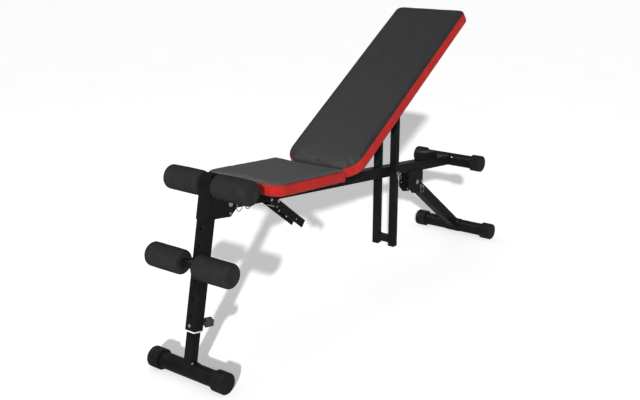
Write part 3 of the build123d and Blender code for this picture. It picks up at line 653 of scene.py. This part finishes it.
def foam_roller(node, side, body):
    """Turned foam grip: rounded ends, a sealed outer face and a bore at the inner face."""
    low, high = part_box(node)
    centre = centre_of(node)
    radius = (high[2] - low[2]) / 2
    inner = low[0] if side > 0 else -high[0]
    outer = high[0] if side > 0 else -low[0]
    bore = 0.0130
    bore_depth = 0.030
    slack = 0.0003
    inner_round = 0.010
    outer_round = 0.012
    body_length = outer - inner - inner_round - outer_round
    profile = [(inner + bore_depth, bore), (inner + 0.0015, bore), (inner + 0.0003, bore + 0.0006)]
    for step in range(5):
        profile.append((inner, bore + 0.0015 + (radius - inner_round - bore - 0.0025) * step / 5))
    for step in range(13):
        turn = math.radians(90 * step / 12)
        rise = inner_round * math.sin(turn)
        profile.append((inner + inner_round * (1 - math.cos(turn)), radius - slack - inner_round + rise))
    for step in range(1, 24):
        share = step / 24
        barrel = slack * math.sin(math.pi * share)
        profile.append((inner + inner_round + body_length * share, radius - slack + barrel))
    for step in range(1, 13):
        turn = math.radians(90 * step / 12)
        drop = outer_round * (1 - math.cos(turn))
        profile.append((outer - outer_round + outer_round * math.sin(turn), radius - slack - drop))
    flat = radius - slack - outer_round
    seal = 0.0016
    for share, dip in (
        (0.85, 0.0001), (0.6, 0.0004), (0.36, 0.0006), (0.30, 0.0013), (0.26, seal), (0.12, seal),
    ):
        profile.append((outer - dip, flat * share))
    sides = 112
    points = []
    for x, r in profile:
        for step in range(sides):
            turn = 2 * math.pi * step / sides
            direction = Vector((0, math.cos(turn), math.sin(turn)))
            spot = Vector((x * 16, math.cos(turn) * 1.3, math.sin(turn) * 1.3))
            soft = 0.0005 * noise.noise(spot + Vector((centre.y * 40, centre.z * 40, side * 3)))
            grow = soft if r > 0.02 else 0
            points.append(Vector((side * x, centre.y, centre.z)) + direction * (r + grow))
    count = len(profile)
    faces = []
    for row in range(count - 1):
        here = row * sides
        there = here + sides
        for step in range(sides):
            after = (step + 1) % sides
            quad = (here + step, here + after, there + after, there + step)
            faces.append(quad if side < 0 else tuple(reversed(quad)))
    points.append(Vector((side * (outer - seal), centre.y, centre.z)))
    points.append(Vector((side * (inner + bore_depth), centre.y, centre.z)))
    tip = (count - 1) * sides
    outer_middle = count * sides
    inner_middle = outer_middle + 1
    for step in range(sides):
        after = (step + 1) % sides
        first, second = (step, after) if side < 0 else (after, step)
        faces.append((tip + first, tip + second, outer_middle))
        faces.append((second, first, inner_middle))
    made = add_object(node.replace("foam", "foam_grip"), points, faces, finishes["foam"])
    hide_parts(node)
    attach(made, body)


for row in ("upper", "lower"):
    foam_roller("foam_" + row + "_left", -1, row + "_left_roller")
    foam_roller("foam_" + row + "_right", 1, row + "_right_roller")

# ------------------------------------------------------------------ weld beads


def weld_bead(name, path, body, radius=0.0016, closed=True):
    """Rippled bead of weld under the paint, along a path of close points."""
    sides = 8
    reference = Vector((0.31, 0.52, 0.79)).normalized()

    def ripple(index, point):
        return radius * (1 + 0.22 * math.sin(index * 1.9) + 0.10 * noise.noise(point * 300))

    points, faces = sweep(path, reference, closed, sides, ripple)
    if not closed:
        faces.append(tuple(reversed(range(sides))))
        faces.append(tuple((len(path) - 1) * sides + step for step in range(sides)))
    made = add_object(name, points, faces, finishes["frame_black"])
    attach(made, body)


def straight(start, end, pitch=0.0011):
    """Close points from one spot up to, and not including, another."""
    steps = max(2, round((end - start).length / pitch))
    return [start.lerp(end, step / steps) for step in range(steps)]


def weld_round_foot(name, foot_node, angle, radius, half_width, offset, body):
    """Bead where a square tube stands on a round foot; the angle is the tube's, away from the foot.

    The offset is how far the tube's centre line passes above the foot's centre.
    """
    low_side = offset - half_width
    high_side = offset + half_width
    centre = centre_of(foot_node)
    slope = math.radians(angle)
    up = Vector((0, math.cos(slope), math.sin(slope)))
    over = Vector((0, -math.sin(slope), math.cos(slope)))

    def spot(x, offset):
        rise = math.sqrt(radius ** 2 - offset ** 2)
        return Vector((x, centre.y, centre.z)) + over * offset + up * rise

    def arc(x, start, end):
        steps = 26
        return [spot(x, start + (end - start) * step / steps) for step in range(steps)]

    path = straight(spot(-half_width, low_side), spot(half_width, low_side))
    path += arc(half_width, low_side, high_side)
    path += straight(spot(half_width, high_side), spot(-half_width, high_side))
    path += arc(-half_width, high_side, low_side)
    weld_bead(name, path, body)


def side_point(start, angle, along, above, x):
    """A point x across the bench, reached in the side view along an angle and then above it."""
    slope = math.radians(angle)
    y = start[0] + along * math.cos(slope) - above * math.sin(slope)
    z = start[1] + along * math.sin(slope) + above * math.cos(slope)
    return Vector((x, y, z))


def foot_offset(foot_node, start, angle):
    """How far a tube's centre line passes above a foot's centre, seen from the side."""
    centre = centre_of(foot_node)
    slope = math.radians(angle)
    return (centre.y - start[0]) * math.sin(slope) - (centre.z - start[1]) * math.cos(slope)


post_corner = (-0.7824, 0.1525)
post_angle = 77.2
half_main = 0.019
half_inner = 0.015
foot_radius = 0.025
saddle_radius = 0.027
beam_front = (-0.644, 0.5011)
beam_angle = -7.033
rear_pivot = (0.430, 0.309)
leg_angle = -37.7
bar_angle = 88.8
rest_along = 1.18 / math.cos(math.radians(beam_angle))

bead = 0.0013
tube_gap = 0.0006

leg_line = side_point(post_corner, post_angle, 0, -half_main, 0)
leg_offset = foot_offset("front_foot_tube", (leg_line.y, leg_line.z), post_angle)
weld_round_foot(
    "front_foot_weld", "front_foot_tube", post_angle, saddle_radius, half_inner, leg_offset, "inner_leg",
)
strut_offset = foot_offset("lower_rear_foot", rear_pivot, leg_angle + 180)
weld_round_foot(
    "rear_foot_weld", "lower_rear_foot", leg_angle + 180, saddle_radius, half_main, strut_offset, "rear_leg",
)
weld_round_foot(
    "upper_foot_weld", "upper_rear_foot", beam_angle + 180, foot_radius, half_main, 0.0, "frame",
)


def side_bead(name, line, angle, start, end, x, body):
    """Straight bead seen from the side, between two spots along and above a line."""
    path = straight(side_point(line, angle, *start, x), side_point(line, angle, *end, x))
    weld_bead(name, path, body, bead, False)


for side, side_name in ((-1, "left"), (1, "right")):
    face = side * (half_main + tube_gap)
    side_bead(
        "gusset_weld_low_" + side_name, post_corner, post_angle,
        (0.3232, -0.004), (0.3288, -0.036), face, "front_leg",
    )
    side_bead(
        "gusset_weld_high_" + side_name, post_corner, post_angle,
        (0.4078, -0.004), (0.4028, -0.036), face, "front_leg",
    )
    side_bead(
        "bracket_weld_" + side_name, beam_front, beam_angle,
        (1.033, -0.0112), (1.124, -0.0112), face, "frame",
    )
    hinge = straight(Vector((face, -0.224, 0.4492)), Vector((face, -0.121, 0.4367)))
    weld_bead("hinge_weld_" + side_name, hinge, "frame", bead, False)
    cross = centre_of("support_cross_tube")
    half_bar = 0.0125
    corners = [
        side_point((cross.y, cross.z), bar_angle, along * half_bar, above * half_bar, side * 0.0219)
        for along, above in ((-1, -1), (1, -1), (1, 1), (-1, 1))
    ]
    loop = []
    for index, corner in enumerate(corners):
        loop += straight(corner, corners[(index + 1) % 4])
    weld_bead("cross_tube_weld_" + side_name, loop, "support", 0.0012)
    end = rest_along + side * 0.0545
    block = straight(
        side_point(beam_front, beam_angle, end, half_main, -0.017),
        side_point(beam_front, beam_angle, end, half_main, 0.017),
    )
    weld_bead("rest_block_weld_" + ("front" if side < 0 else "rear"), block, "frame", 0.0014, False)

# ------------------------------------------------------------------ stage and light


def floor_material():
    """Pale studio floor with a very faint mottle."""
    made, nodes, links, shader, place = new_material("studio_floor", rough=0.9, specular=0.1)
    mottle = noise_node(nodes, links, place, 3, 3)
    colour = ramp(nodes, links, mottle, (0.92, 0.92, 0.92), (0.94, 0.94, 0.94))
    links.new(colour, shader.inputs["Base Color"])
    shader.inputs["Emission Color"].default_value = (1, 1, 1, 1)
    shader.inputs["Emission Strength"].default_value = 0.21
    return made


floor_reach = 60.0
floor_level = -0.0006
floor_corners = [
    (x * floor_reach, y * floor_reach, floor_level)
    for x, y in ((-1, -1), (1, -1), (1, 1), (-1, 1))
]
floor = add_object("floor", floor_corners, [(0, 1, 2, 3)], floor_material(), False)
floor.visible_glossy = False

world = bpy.data.worlds.new("studio")
bpy.context.scene.world = world
world.use_nodes = True
world.node_tree.nodes["Background"].inputs["Color"].default_value = (1, 1, 1, 1)
world.node_tree.nodes["Background"].inputs["Strength"].default_value = 0.27


def aimed(name, kind, energy, place, target, size_m=1.0):
    """Light at a place that points at a target."""
    data = bpy.data.lights.new(name, kind)
    data.energy = energy
    if kind == "AREA":
        data.shape = "RECTANGLE"
        data.size = size_m
        data.size_y = size_m * 0.6
    made = bpy.data.objects.new(name, data)
    made.location = place
    made.rotation_euler = (Vector(target) - Vector(place)).to_track_quat("-Z", "Y").to_euler()
    bpy.context.scene.collection.objects.link(made)
    return made


key = aimed("key", "SUN", 5.2, (1.5, -2.3, 1.0), (0, 0, 0))
key.data.angle = math.radians(1.6)
key.visible_glossy = False
strip = aimed("highlight_strip", "AREA", 45, (-0.7, -1.3, 2.8), (0, -0.5, 0.1), 3.2)
strip.data.size_y = 0.22
strip.visible_diffuse = False
aimed("softbox_top", "AREA", 8, (-0.6, -0.4, 3.0), (0, 0.1, 0.4), 2.6)
aimed("softbox_left", "AREA", 5, (-2.8, -1.6, 1.6), (0, 0, 0.4), 1.8)
aimed("softbox_right", "AREA", 5, (3.0, 0.2, 1.5), (0, 0, 0.5), 1.8)

bpy.context.scene.view_settings.view_transform = "Standard"
